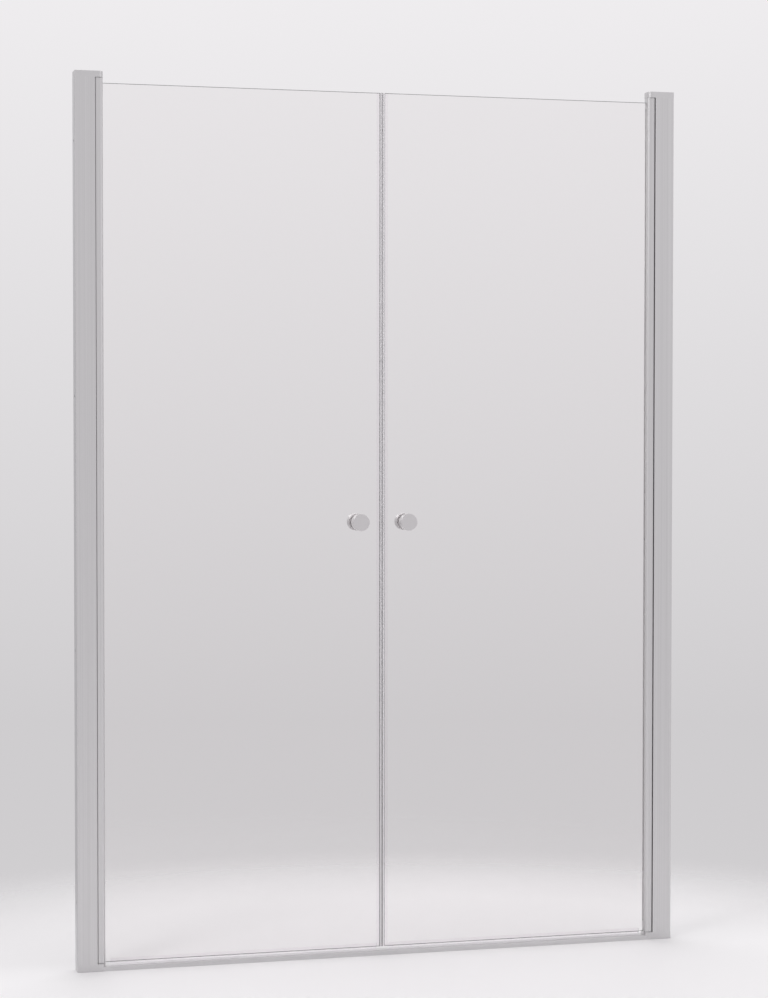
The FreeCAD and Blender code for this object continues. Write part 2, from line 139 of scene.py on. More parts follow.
class DoorStudio(bpy.types.PropertyGroup):
    """Stage, light and camera."""

    floor: colour("Floor", "Pale floor in front of the door", "#F1EFF1")
    floor_inside: colour("Floor, inside", "Pale floor on the shower side", "#E9E7E9")
    backdrop_low: colour("Backdrop, low", "Backdrop behind the lower half of the door", "#CFCDCF")
    backdrop_high: colour("Backdrop, high", "Backdrop above the door", "#EFEDEF")
    mirrored_room: colour("Mirrored room", "What metal mirrors in front of the door", "#E2E0E2")
    mirrored_shower: colour("Mirrored shower", "What metal mirrors on the shower side", "#C8C6C8")
    sky: FloatProperty(name="Sky", description="Strength of the even light from all round", default=0.86,
                       min=0.0)
    key_power: power("Key lamp", "Power of the large lamp at upper left", 40.0)
    fill_power: power("Fill lamp", "Power of the lamp at right", 14.0)
    top_power: power("Top lamp", "Power of the lamp above the shower side", 25.0)
    rim_power: power("Rim lamp", "Power of the small lamp behind the door", 2.5)
    camera_place: FloatVectorProperty(name="Camera place", description="Where the camera stands", size=3,
                                      subtype="XYZ", unit="LENGTH", default=(-1.468958, -5.353894, 1.199884))
    camera_yaw: angle("Camera yaw", "Turn of the camera to the right", 0.268592)
    camera_pitch: angle("Camera pitch", "Tilt of the camera downwards", 0.031889)
    camera_roll: angle("Camera roll", "Turn of the camera about its line of sight", 0.000444)
    lens: FloatProperty(name="Lens", description="Focal length on a sensor 36 mm tall", default=89.597,
                        min=1.0)


# Nodes and materials


def add_node(tree, kind, inputs=None, **settings):
    """Adds a node; each input is a value or another node's output."""
    node = tree.nodes.new("ShaderNode" + kind)
    for name, value in settings.items():
        setattr(node, name, value)
    for name, value in (inputs or {}).items():
        if isinstance(value, bpy.types.NodeSocket):
            tree.links.new(value, node.inputs[name])
        else:
            node.inputs[name].default_value = value
    return node


def new_material(name, values=None):
    """A material with its output and a Principled shader that starts from these values."""
    material = bpy.data.materials.new(name)
    material.use_nodes = True
    tree = material.node_tree
    tree.nodes.clear()
    shader = add_node(tree, "BsdfPrincipled", values)
    add_node(tree, "OutputMaterial", {"Surface": shader.outputs["BSDF"]})
    return material, tree, shader


def rgba(value):
    """A colour property with full opacity, as a node socket takes it."""
    return (*value, 1.0)


def pass_light(tree, shader, tint):
    """Lets lamplight through a clear material, so that it throws hardly any shadow."""
    clear = add_node(tree, "BsdfTransparent", {"Color": rgba(tint)})
    shadow = add_node(tree, "LightPath").outputs["Is Shadow Ray"]
    both = add_node(tree, "MixShader", {0: shadow, 1: shader.outputs["BSDF"], 2: clear.outputs["BSDF"]})
    output = next(node for node in tree.nodes if node.bl_idname == "ShaderNodeOutputMaterial")
    tree.links.new(both.outputs["Shader"], output.inputs["Surface"])


def grain(tree, width, long_axis=2, stretch=1):
    """A pattern on Object coordinates: grains of one width, and stretch times as long on one axis."""
    place = add_node(tree, "TexCoord").outputs["Object"]
    scale = [1 / width] * 3
    scale[long_axis] /= stretch
    spread = add_node(tree, "Mapping", {"Vector": place, "Scale": scale}).outputs["Vector"]
    return add_node(tree, "TexNoise", {"Vector": spread, "Scale": 1.0, "Detail": 3.0}).outputs["Fac"]


def work_in(tree, shader, pattern, tones=None, roughness=None, depth=None):
    """Lets a pattern vary a surface: between two tones, between two roughnesses and in height."""
    middle_range = {"Value": pattern, "From Min": 0.3, "From Max": 0.7}
    if tones:
        share = add_node(tree, "MapRange", middle_range).outputs["Result"]
        tone = add_node(tree, "Mix", {0: share, 6: rgba(tones[0]), 7: rgba(tones[1])}, data_type="RGBA")
        tree.links.new(tone.outputs[2], shader.inputs["Base Color"])
    if roughness:
        spread = add_node(tree, "MapRange", {**middle_range, "To Min": roughness[0], "To Max": roughness[1]})
        tree.links.new(spread.outputs["Result"], shader.inputs["Roughness"])
    if depth:
        bump = add_node(tree, "Bump", {"Height": pattern, "Strength": 1.0, "Distance": depth})
        tree.links.new(bump.outputs["Normal"], shader.inputs["Normal"])


def anodised_aluminium(finish, long_axis):
    """Satin anodised aluminium, drawn through a die, etched and anodised.

    The eye sees an even soft grey with faint lines along the length. Real die lines lie
    0.1 mm apart; they are drawn 2 mm apart so that they show.
    """
    material, tree, shader = new_material("satin_anodised_aluminium_" + "xyz"[long_axis], {"Metallic": 1.0})
    die_lines = grain(tree, 2 * MILLIMETRE, long_axis, 600)
    work_in(tree, shader, die_lines, (finish.aluminium, finish.aluminium_line), (0.34, 0.42),
            0.004 * MILLIMETRE)
    return material


def mill_aluminium(finish):
    """Untreated extruded aluminium: brighter than the anodised posts, with stronger die lines.

    Like theirs, the lines are drawn further apart than they are, 1.2 mm.
    """
    material, tree, shader = new_material("extruded_mill_aluminium", {"Metallic": 1.0})
    die_lines = grain(tree, 1.2 * MILLIMETRE, 2, 400)
    work_in(tree, shader, die_lines, (finish.mill, finish.aluminium_line), (0.28, 0.44), 0.008 * MILLIMETRE)
    return material


def die_cast_metal(finish):
    """Die-cast pivot blocks, blasted and finished like the posts: the same grey without die lines.

    Blasting leaves pits of about 0.1 mm; they are drawn 0.8 mm across so that they show.
    """
    material, tree, shader = new_material("blasted_die_cast_metal", {"Metallic": 1.0})
    pits = grain(tree, 0.8 * MILLIMETRE)
    work_in(tree, shader, pits, (finish.aluminium, finish.aluminium_line), (0.36, 0.42), 0.006 * MILLIMETRE)
    return material


def float_glass(finish):
    """Clear toughened float glass: nearly colourless, mirror-smooth, with the faint wave of toughening."""
    material, tree, shader = new_material("clear_float_glass", {
        "Base Color": rgba(finish.glass), "Transmission Weight": 1.0, "Roughness": 0.0, "IOR": 1.52})
    wave = grain(tree, 180 * MILLIMETRE)
    work_in(tree, shader, wave, depth=0.02 * MILLIMETRE)
    pass_light(tree, shader, finish.glass)
    return material


def ground_glass(finish):
    """Ground edges of the panes: the wheel leaves a grey frosted band that darkens the pane's outline.

    Its scratches run along the upright edges. They are much finer in life and are drawn
    0.4 mm apart so that they show.
    """
    material, tree, shader = new_material("ground_glass_edge", {
        "Base Color": rgba(finish.ground), "Transmission Weight": 0.3, "Roughness": 0.45, "IOR": 1.52})
    scratches = grain(tree, 0.4 * MILLIMETRE, 2, 80)
    work_in(tree, shader, scratches, depth=0.01 * MILLIMETRE)
    return material


def satin_chrome(finish):
    """Satin chrome on turned brass: bright metal with fine rings left by the lathe.

    The rings follow each knob's own map, whose second axis is the distance from the knob's
    centre. Real rings lie 0.05 mm apart; they are drawn 0.6 mm apart so that they show.
    """
    material, tree, shader = new_material("satin_chrome", {
        "Base Color": rgba(finish.chrome), "Metallic": 1.0})
    place = add_node(tree, "UVMap", uv_map="turning").outputs["UV"]
    radius = add_node(tree, "SeparateXYZ", {"Vector": place}).outputs["Y"]
    turned = add_node(tree, "CombineXYZ", {"X": radius}).outputs["Vector"]
    rings = add_node(tree, "TexNoise", {"Vector": turned, "Scale": 1 / (0.6 * MILLIMETRE), "Detail": 2.0})
    work_in(tree, shader, rings.outputs["Fac"], roughness=(0.3, 0.4), depth=0.004 * MILLIMETRE)
    return material


def stainless_steel(finish):
    """Turned stainless steel: a warm grey metal with a slightly uneven sheen.

    Turning marks are about 0.1 mm wide; they are drawn 0.5 mm wide so that they show.
    """
    material, tree, shader = new_material("turned_stainless_steel", {
        "Base Color": rgba(finish.steel), "Metallic": 1.0})
    marks = grain(tree, 0.5 * MILLIMETRE, 2, 0.2)
    work_in(tree, shader, marks, roughness=(0.24, 0.36), depth=0.004 * MILLIMETRE)
    return material


def clear_vinyl(finish, long_axis):
    """Clear soft vinyl: glassy, with soft lines along the strip.

    It clings to the glass, so that its faces hardly mirror; a low index stands for that.
    """
    material, tree, shader = new_material("clear_vinyl_" + "xyz"[long_axis], {
        "Base Color": rgba(finish.vinyl), "Transmission Weight": 1.0, "IOR": 1.14})
    lines = grain(tree, 1.5 * MILLIMETRE, long_axis, 300)
    work_in(tree, shader, lines, roughness=(0.01, 0.04), depth=0.002 * MILLIMETRE)
    pass_light(tree, shader, finish.vinyl)
    return material


def black_rubber(finish):
    """Extruded black rubber: dull and dark, with a dusty bloom along its length."""
    material, tree, shader = new_material("black_rubber")
    bloom = grain(tree, 2 * MILLIMETRE, 2, 40)
    dusty = [value * 1.9 for value in finish.rubber]
    work_in(tree, shader, bloom, (finish.rubber, dusty), (0.62, 0.8), 0.02 * MILLIMETRE)
    return material


def grey_vinyl(finish):
    """Soft light grey vinyl: satin and a little translucent, so that the glass pocket does not look black."""
    material, tree, shader = new_material("soft_grey_vinyl", {"Transmission Weight": 0.3})
    lines = grain(tree, 2 * MILLIMETRE, 2, 200)
    darker = [value * 0.92 for value in finish.gasket]
    work_in(tree, shader, lines, (finish.gasket, darker), (0.4, 0.55))
    return material


def flexible_magnet(finish, face_x):
    """Flexible magnet in a white skin, with a dark band on the faces that meet, partly real and partly
    painted shade.

    The skin shows through the clear strips as two pale bands. Ferrite left uncovered on the meeting faces
    makes the dark band, which also stands in as painted shade for the narrow gap between the leaves and shows
    as the dark line there. The faces lie at face_x from the middle of the doorway, and the skin ends 0.6 mm
    short of them.
    """
    material, tree, shader = new_material("flexible_magnet")
    place = add_node(tree, "TexCoord").outputs["Object"]
    across = add_node(tree, "SeparateXYZ", {"Vector": place}).outputs["X"]
    from_middle = add_node(tree, "Math", {0: across}, operation="ABSOLUTE").outputs[0]
    # Painted shade: the dark band by the meeting faces also stands for the shade in the gap between the
    # leaves
    dark_band_edge = face_x + 0.6 * MILLIMETRE
    ferrite_and_shade_share = add_node(tree, "Math", {0: from_middle, 1: dark_band_edge}, operation="LESS_THAN").outputs[0]
    work_in(tree, shader, ferrite_and_shade_share, (finish.magnet, finish.ferrite_and_gap_shade))
    dents = grain(tree, 3 * MILLIMETRE, 2, 30)
    work_in(tree, shader, dents, roughness=(0.4, 0.55), depth=0.01 * MILLIMETRE)
    return material


def moulded_acetal(finish):
    """Moulded acetal: an even white with the fine spark-eroded grain of its mould.

    Real grain is about 0.1 mm across; it is drawn 0.6 mm across so that it shows.
    """
    material, tree, shader = new_material("moulded_acetal")
    mould_grain = grain(tree, 0.6 * MILLIMETRE)
    darker = [value * 0.93 for value in finish.acetal]
    work_in(tree, shader, mould_grain, (finish.acetal, darker), (0.42, 0.55), 0.01 * MILLIMETRE)
    return material


def silver_lacquer(finish):
    """Moulded nylon under silver lacquer: flake in the lacquer gives the posts' grey with a softer shine.

    Real flake is about 0.05 mm across; it is drawn 0.6 mm across so that it shows.
    """
    material, tree, shader = new_material("silver_lacquered_nylon", {"Metallic": 0.85})
    flake = grain(tree, 0.6 * MILLIMETRE)
    work_in(tree, shader, flake, (finish.aluminium, finish.aluminium_line), (0.4, 0.5), 0.008 * MILLIMETRE)
    return material


# Modelling with operators

# A direction lies along an axis, or a face looks along it, from this share on
ALONG = 0.999
FACING = 0.9


def block(low, high):
    """A cube between two corners, alone in the selection, with its place in its mesh."""
    low, high = Vector(low), Vector(high)
    bpy.ops.object.select_all(action="DESELECT")
    bpy.ops.mesh.primitive_cube_add(size=1.0, location=(low + high) / 2, scale=high - low)
    bpy.ops.object.transform_apply(location=True, rotation=True, scale=True)
    return bpy.context.object


def crosswise_rod(centre, radius, reach):
    """A round bar along Y, alone in the selection, with its place in its mesh."""
    bpy.ops.object.select_all(action="DESELECT")
    bpy.ops.mesh.primitive_cylinder_add(vertices=96, radius=radius, depth=reach, location=centre,
                                        rotation=(math.pi / 2, 0.0, 0.0))
    bpy.ops.object.transform_apply(location=True, rotation=True, scale=True)
    return bpy.context.object


def cut_away(piece, cutter):
    """Takes the cutter's shape out of a piece."""
    modifier = piece.modifiers.new("cut", "BOOLEAN")
    modifier.operation = "DIFFERENCE"
    modifier.solver = "EXACT"
    modifier.object = cutter
    bpy.context.view_layer.objects.active = piece
    bpy.ops.object.modifier_apply(modifier=modifier.name)
    bpy.data.objects.remove(cutter)


def edit(piece):
    """Opens a piece in edit mode with all of it selected."""
    bpy.ops.object.select_all(action="DESELECT")
    piece.select_set(True)
    bpy.context.view_layer.objects.active = piece
    bpy.ops.object.mode_set(mode="EDIT")
    bpy.ops.mesh.select_all(action="SELECT")


def close(piece, smooth_angle):
    """Leaves edit mode and smooths what lies under an angle."""
    bpy.ops.mesh.select_all(action="SELECT")
    bpy.ops.mesh.remove_doubles(threshold=0.001 * MILLIMETRE)
    bpy.ops.mesh.normals_make_consistent(inside=False)
    bpy.ops.object.mode_set(mode="OBJECT")
    bpy.ops.object.shade_smooth_by_angle(angle=smooth_angle)


def choose(piece, kind, test):
    """Selects only the vertices, edges or faces that pass a test."""
    bpy.ops.mesh.select_mode(type=kind)
    bpy.ops.mesh.select_all(action="DESELECT")
    shape = bmesh.from_edit_mesh(piece.data)
    elements = {"VERT": shape.verts, "EDGE": shape.edges, "FACE": shape.faces}[kind]
    for element in elements:
        if test(element):
            element.select_set(True)
    bmesh.update_edit_mesh(piece.data)


def slice_across(axis, *places):
    """Cuts the open mesh at places along one axis and leaves its shape as it is."""
    for place in places:
        point, normal = [0.0, 0.0, 0.0], [0.0, 0.0, 0.0]
        point[axis], normal[axis] = place, 1.0
        bpy.ops.mesh.select_all(action="SELECT")
        bpy.ops.mesh.bisect(plane_co=point, plane_no=normal)


def near(first, second):
    """True if two lengths agree to a hundredth of a millimetre."""
    return abs(first - second) < 0.01 * MILLIMETRE


def middle(element):
    """The middle of an edge or face."""
    return sum((vertex.co for vertex in element.verts), Vector()) / len(element.verts)


def runs_along(edge, axis):
    """True if an edge lies along one axis."""
    step = edge.verts[1].co - edge.verts[0].co
    return abs(step[axis]) > ALONG * step.length


def mirrored_copy(piece):
    """The same piece for the right leaf, with its own mesh."""
    bpy.ops.object.select_all(action="DESELECT")
    piece.select_set(True)
    bpy.context.view_layer.objects.active = piece
    bpy.ops.object.duplicate()
    other = bpy.context.object
    edit(other)
    bpy.ops.transform.resize(value=(-1.0, 1.0, 1.0), center_override=(0.0, 0.0, 0.0))
    bpy.ops.mesh.normals_make_consistent(inside=False)
    bpy.ops.object.mode_set(mode="OBJECT")
    return other


def fit(piece, name, node, body):
    """Names a finished piece, hides the node that it stands for and lets it ride on its body."""
    piece.name = name
    piece.data.name = name
    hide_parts(node)
    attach(piece, body)


def fit_pair(piece, name, node):
    """Fits a left piece and its mirrored copy to the two leaves."""
    other = mirrored_copy(piece)
    for side, made in zip(SIDES, (piece, other)):
        fit(made, f"{side}_{name}", f"{side}_{node}", f"{side}_leaf")
    return piece, other


def dress(names, material):
    """Gives nodes of the construction model their material."""
    for name in names:
        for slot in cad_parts[name].material_slots:
            slot.material = material


def on_both_sides(*names):
    """Node names of the left and right pieces."""
    return [f"{side}_{name}" for side in SIDES for name in names]


class DOOR_OT_posts(bpy.types.Operator):
    """Finish the posts, turning profiles and wall channels"""

    bl_idname = "door.posts"
    bl_label = "Posts and profiles"

    def execute(self, context):
        finish = context.scene.door_finish
        dress(on_both_sides("hinge_post", "pivot_profile"), anodised_aluminium(finish, 2))
        dress(on_both_sides("wall_channel"), mill_aluminium(finish))
        return {"FINISHED"}


class DOOR_OT_pivots(bpy.types.Operator):
    """Finish the pivot blocks, bushes, washers, pins and end plugs"""

    bl_idname = "door.pivots"
    bl_label = "Pivots"

    def execute(self, context):
        finish = context.scene.door_finish
        dress(on_both_sides("top_pivot_block", "bottom_pivot_block"), die_cast_metal(finish))
        white = moulded_acetal(finish)
        dress(on_both_sides("top_bush", "bottom_bush", "thrust_washer", "knob_sleeve"), white)
        silver = silver_lacquer(finish)
        dress(on_both_sides("top_end_plug", "bottom_end_plug"), silver)
        dress(["threshold_end_caps", "locking_screw_caps"], silver)
        steel = stainless_steel(finish)
        dress(on_both_sides("top_pivot_pin", "bottom_pivot_pin", "knob_stud"), steel)
        dress(["block_screws", "locking_screws"], steel)
        return {"FINISHED"}


class DOOR_OT_rubbers(bpy.types.Operator):
    """Finish the rubber strips in the hinge slots and the soft gaskets round the glass"""

    bl_idname = "door.rubbers"
    bl_label = "Rubber strips"

    def execute(self, context):
        finish = context.scene.door_finish
        dress(on_both_sides("hinge_gap_seal"), black_rubber(finish))
        dress(on_both_sides("glazing_gasket"), grey_vinyl(finish))
        return {"FINISHED"}


class DOOR_OT_threshold(bpy.types.Operator):
    """Finish the threshold rail"""

    bl_idname = "door.threshold"
    bl_label = "Threshold"

    def execute(self, context):
        dress(["threshold_rail"], anodised_aluminium(context.scene.door_finish, 0))
        return {"FINISHED"}


class DOOR_OT_panes(bpy.types.Operator):
    """Cut the two panes with notched hinge corners, a knob hole and ground edges"""

    bl_idname = "door.panes"
    bl_label = "Glass panes"

    def execute(self, context):
        sizes = context.scene.door_sizes
        low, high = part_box("left_glass_pane")
        notch_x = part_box("left_pivot_profile")[1].x + sizes.notch_gap
        low_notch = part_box("left_bottom_end_plug")[1].z + sizes.notch_gap
        high_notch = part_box("left_top_end_plug")[0].z - sizes.notch_gap
        sleeve_low, sleeve_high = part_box("left_knob_sleeve")
        hole = (sleeve_low + sleeve_high) / 2
        hole_radius = (sleeve_high.x - sleeve_low.x) / 2 + sizes.seat_gap

        pane = block((notch_x, low.y, low.z), high)
        edit(pane)
        slice_across(2, low_notch, hole.z - 2 * hole_radius, hole.z + 2 * hole_radius, high_notch)
        slice_across(0, hole.x - 2 * hole_radius, hole.x + 2 * hole_radius)
        choose(pane, "FACE", lambda face: face.normal.x < -FACING and low_notch < middle(face).z < high_notch)
        bpy.ops.mesh.extrude_region_move(TRANSFORM_OT_translate={"value": (low.x - notch_x, 0.0, 0.0)})
        choose(pane, "EDGE", lambda edge: runs_along(edge, 1) and edge.calc_face_angle() > math.radians(45))
        bpy.ops.mesh.bevel(offset=sizes.glass_corner, segments=4, affect="EDGES")
        bpy.ops.object.mode_set(mode="OBJECT")
        cut_away(pane, crosswise_rod(hole, hole_radius, 2 * (high.y - low.y)))
        edit(pane)
        choose(pane, "EDGE", is_pane_outline)
        bpy.ops.mesh.bevel(offset=sizes.glass_arris, segments=1, affect="EDGES")
        close(pane, math.radians(20))
        finish = context.scene.door_finish
        pane.data.materials.append(float_glass(finish))
        pane.data.materials.append(ground_glass(finish))
        # Ground edges show as grey lines; those towards the hinge are polished and hardly show
        hinge_side = -0.6
        for polygon in pane.data.polygons:
            is_ground = abs(polygon.normal.y) < ALONG and polygon.normal.x > hinge_side
            polygon.material_index = 1 if is_ground else 0
        fit_pair(pane, "pane", "glass_pane")
        return {"FINISHED"}


def is_pane_outline(edge):
    """True where a broad face of a pane meets its rim."""
    tilts = sorted(abs(face.normal.y) for face in edge.link_faces)
    return tilts[0] < 0.5 and tilts[-1] > ALONG


class DOOR_OT_closing_strips(bpy.types.Operator):
    """Model the clear strips on the panes' free edges and finish the magnets inside them"""

    bl_idname = "door.closing_strips"
    bl_label = "Closing strips"

    def execute(self, context):
        sizes = context.scene.door_sizes
        finish = context.scene.door_finish
        low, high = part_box("left_closing_seal")
        glass_low, glass_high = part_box("left_glass_pane")
        inner = glass_high.y + sizes.seat_gap
        strip = block((glass_high.x + sizes.seat_gap, low.y, low.z), high)
        edit(strip)
        choose(strip, "EDGE", lambda edge: runs_along(edge, 2) and near(middle(edge).x, high.x))
        bpy.ops.mesh.bevel(offset=sizes.nose_rounding, segments=5, affect="EDGES")
        slice_across(1, -inner, inner)
        choose(strip, "FACE", lambda face: face.normal.x < -FACING and abs(middle(face).y) > inner)
        clip_depth = glass_high.x + sizes.seat_gap - low.x
        bpy.ops.mesh.extrude_region_move(TRANSFORM_OT_translate={"value": (-clip_depth, 0.0, 0.0)})
        choose(strip, "EDGE", lambda edge: runs_along(edge, 2) and near(middle(edge).x, low.x))
        bpy.ops.mesh.bevel(offset=sizes.lip_rounding, segments=3, affect="EDGES")
        close(strip, math.radians(35))
        magnet_low, magnet_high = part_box("left_magnet_strip")
        room = Vector((sizes.seat_gap, sizes.seat_gap, high.x - low.x))
        cut_away(strip, block(magnet_low - room, magnet_high + room))
        strip.data.materials.append(clear_vinyl(finish, 2))
        fit_pair(strip, "closing_strip", "closing_seal")
        dress(on_both_sides("magnet_strip"), flexible_magnet(finish, -magnet_high.x))
        return {"FINISHED"}


class DOOR_OT_bottom_strips(bpy.types.Operator):
    """Model the clear strips under the panes, with two tapered fins each"""

    bl_idname = "door.bottom_strips"
    bl_label = "Bottom strips"

    def execute(self, context):
        sizes = context.scene.door_sizes
        low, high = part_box("left_bottom_seal")
        glass_low, glass_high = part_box("left_glass_pane")
        inner = glass_high.y + sizes.seat_gap
        web_high = glass_low.z - sizes.seat_gap
        web_low = web_high - sizes.strip_wall
        fin_root = high.y - 2 * sizes.fin_root
        strip = block((low.x, low.y, web_low), (high.x, high.y, web_high))
        edit(strip)
        for line in (inner, fin_root, fin_root - sizes.fin_root):
            slice_across(1, -line, line)
        choose(strip, "FACE", lambda face: face.normal.z > FACING and abs(middle(face).y) > inner)
        bpy.ops.mesh.extrude_region_move(TRANSFORM_OT_translate={"value": (0.0, 0.0, high.z - web_high)})
        choose(strip, "EDGE", lambda edge: runs_along(edge, 0) and near(middle(edge).z, high.z))
        bpy.ops.mesh.bevel(offset=sizes.lip_rounding, segments=3, affect="EDGES")
        for side in (-1, 1):
            choose(strip, "FACE", lambda face: face.normal.z < -FACING and near(
                middle(face).y, side * (fin_root - sizes.fin_root / 2)))
            drop = (0.0, side * (high.y - fin_root), low.z - web_low)
            bpy.ops.mesh.extrude_region_move(TRANSFORM_OT_translate={"value": drop})
            tip_y = side * (high.y - sizes.fin_root / 2)
            bpy.ops.transform.resize(value=(1.0, sizes.fin_tip / sizes.fin_root, 1.0),
                                     center_override=(0.0, tip_y, low.z))
        close(strip, math.radians(35))
        strip.data.materials.append(clear_vinyl(context.scene.door_finish, 0))
        fit_pair(strip, "bottom_strip", "bottom_seal")
        return {"FINISHED"}


class DOOR_OT_knobs(bpy.types.Operator):
    """Turn the four knobs and finish the washers behind them"""

    bl_idname = "door.knobs"
    bl_label = "Knobs"

    def execute(self, context):
        sizes = context.scene.door_sizes
        finish = context.scene.door_finish
        chrome = satin_chrome(finish)
        for node in ("outer_knob", "inner_knob"):
            knob = turned_knob(sizes, "left_" + node)
            map_turning(knob)
            knob.data.materials.append(chrome)
            pair = fit_pair(knob, "turned_" + node, node)
            map_turning(pair[1])
        dress(on_both_sides("knob_washers"), clear_vinyl(finish, 1))
        return {"FINISHED"}


def turned_knob(sizes, node):
    """A knob spun from its half outline, with rounded rims and a bore for the stud."""
    low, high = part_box(node)
    washer_low, washer_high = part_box("left_knob_washers")
    stud_low, stud_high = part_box("left_knob_stud")
    centre = (low + high) / 2
    on_front = centre.y < 0
    base, face = (high.y, low.y) if on_front else (low.y, high.y)
    outwards = -1 if on_front else 1
    head_radius = (high.z - low.z) / 2
    neck_radius = (washer_high.z - washer_low.z) / 2
    bore_radius = (stud_high.z - stud_low.z) / 2 + sizes.seat_gap
    # The head takes two thirds of the knob's length, the neck one
    shoulder = base + (face - base) / 3
    bore_end = base + outwards * sizes.knob_bore
    steps = [(bore_radius, bore_end), (bore_radius, base), (neck_radius, base), (neck_radius, shoulder),
             (head_radius, shoulder), (head_radius, face), (0.0, face)]

    bpy.ops.object.select_all(action="DESELECT")
    bpy.ops.mesh.primitive_plane_add(size=MILLIMETRE, location=(centre.x, bore_end, centre.z))
    bpy.ops.object.transform_apply(location=True, rotation=True, scale=True)
    knob = bpy.context.object
    edit(knob)
    bpy.ops.mesh.select_mode(type="VERT")
    bpy.ops.mesh.merge(type="CENTER")
    here = Vector((0.0, bore_end))
    for radius, depth in steps:
        bpy.ops.mesh.extrude_region_move(
            TRANSFORM_OT_translate={"value": (radius - here.x, depth - here.y, 0.0)})
        here = Vector((radius, depth))
    for radius, depth, rounding in ((neck_radius, shoulder, sizes.knob_throat),
                                    (head_radius, shoulder, sizes.knob_rim),
                                    (head_radius, face, sizes.knob_rim)):
        choose(knob, "VERT", lambda vertex: near(vertex.co.x, centre.x + radius) and near(vertex.co.y, depth))
        bpy.ops.mesh.bevel(offset=rounding, segments=8, affect="VERTICES")
    bpy.ops.mesh.select_mode(type="VERT")
    bpy.ops.mesh.select_all(action="SELECT")
    bpy.ops.mesh.spin(steps=128, angle=2 * math.pi, center=(centre.x, 0.0, centre.z), axis=(0.0, 1.0, 0.0))
    close(knob, math.radians(30))
    return knob


def map_turning(knob):
    """A map for the lathe's rings: the angle about the knob's centre, then the distance from it."""
    layer = knob.data.uv_layers.get("turning") or knob.data.uv_layers.new(name="turning")
    points = [vertex.co for vertex in knob.data.vertices]
    centre_x = (min(point.x for point in points) + max(point.x for point in points)) / 2
    centre_z = (min(point.z for point in points) + max(point.z for point in points)) / 2
    for loop in knob.data.loops:
        x = points[loop.vertex_index].x - centre_x
        z = points[loop.vertex_index].z - centre_z
        layer.data[loop.index].uv = (math.atan2(z, x) / (2 * math.pi) + 0.5, math.hypot(x, z))


# Where each lamp hangs and how wide it is, in metres
LAMPS = {
    "key": ((-3.4, -3.0, 4.0), 1.6),
    "fill": ((4.6, -3.4, 3.0), 4.0),
    "top": ((0.4, 2.2, 3.8), 3.4),
    "rim": ((-0.2, 4.4, 2.1), 0.4),
}


class DOOR_OT_studio(bpy.types.Operator):
    """Set the floor, backdrop, lamps and camera"""

    bl_idname = "door.studio"
    bl_label = "Studio"

    def execute(self, context):
        studio = context.scene.door_studio
        context.scene.view_settings.view_transform = "Standard"
        lay_floor(studio)
        hang_backdrop(context.scene, studio)
        for name, (place, width) in LAMPS.items():
            set_lamp(name + "_lamp", place, width, getattr(studio, name + "_power"))
        place_camera(context.scene, studio)
        return {"FINISHED"}


def lay_floor(studio):
    """A pale floor, a little darker on the shower side, that fades into the backdrop."""
    floor_radius = 7.0
    fade_middle, fade_start, fade_end = (0.0, -0.4, 0.0), 1.0, 1.8
    tone_change = 0.1
    bpy.ops.object.select_all(action="DESELECT")
    bpy.ops.mesh.primitive_circle_add(vertices=96, radius=floor_radius, fill_type="NGON")
    floor = bpy.context.object
    floor.name = "studio_floor"
    material, tree, shader = new_material("matt_pale_floor", {"Roughness": 0.7, "Specular IOR Level": 0.2})
    place = add_node(tree, "TexCoord").outputs["Object"]
    distance = add_node(tree, "VectorMath", {0: place, 1: fade_middle}, operation="DISTANCE").outputs["Value"]
    fade = add_node(tree, "MapRange", {"Value": distance, "From Min": fade_start, "From Max": fade_end,
                                       "To Min": 1.0, "To Max": 0.0}, interpolation_type="SMOOTHSTEP")
    tree.links.new(fade.outputs["Result"], shader.inputs["Alpha"])
    depth = add_node(tree, "SeparateXYZ", {"Vector": place}).outputs["Y"]
    inside = add_node(tree, "MapRange", {"Value": depth, "From Min": -tone_change, "From Max": tone_change})
    tone = add_node(tree, "Mix", {0: inside.outputs["Result"], 6: rgba(studio.floor),
                                  7: rgba(studio.floor_inside)}, data_type="RGBA")
    tree.links.new(tone.outputs[2], shader.inputs["Base Color"])
    floor.data.materials.append(material)


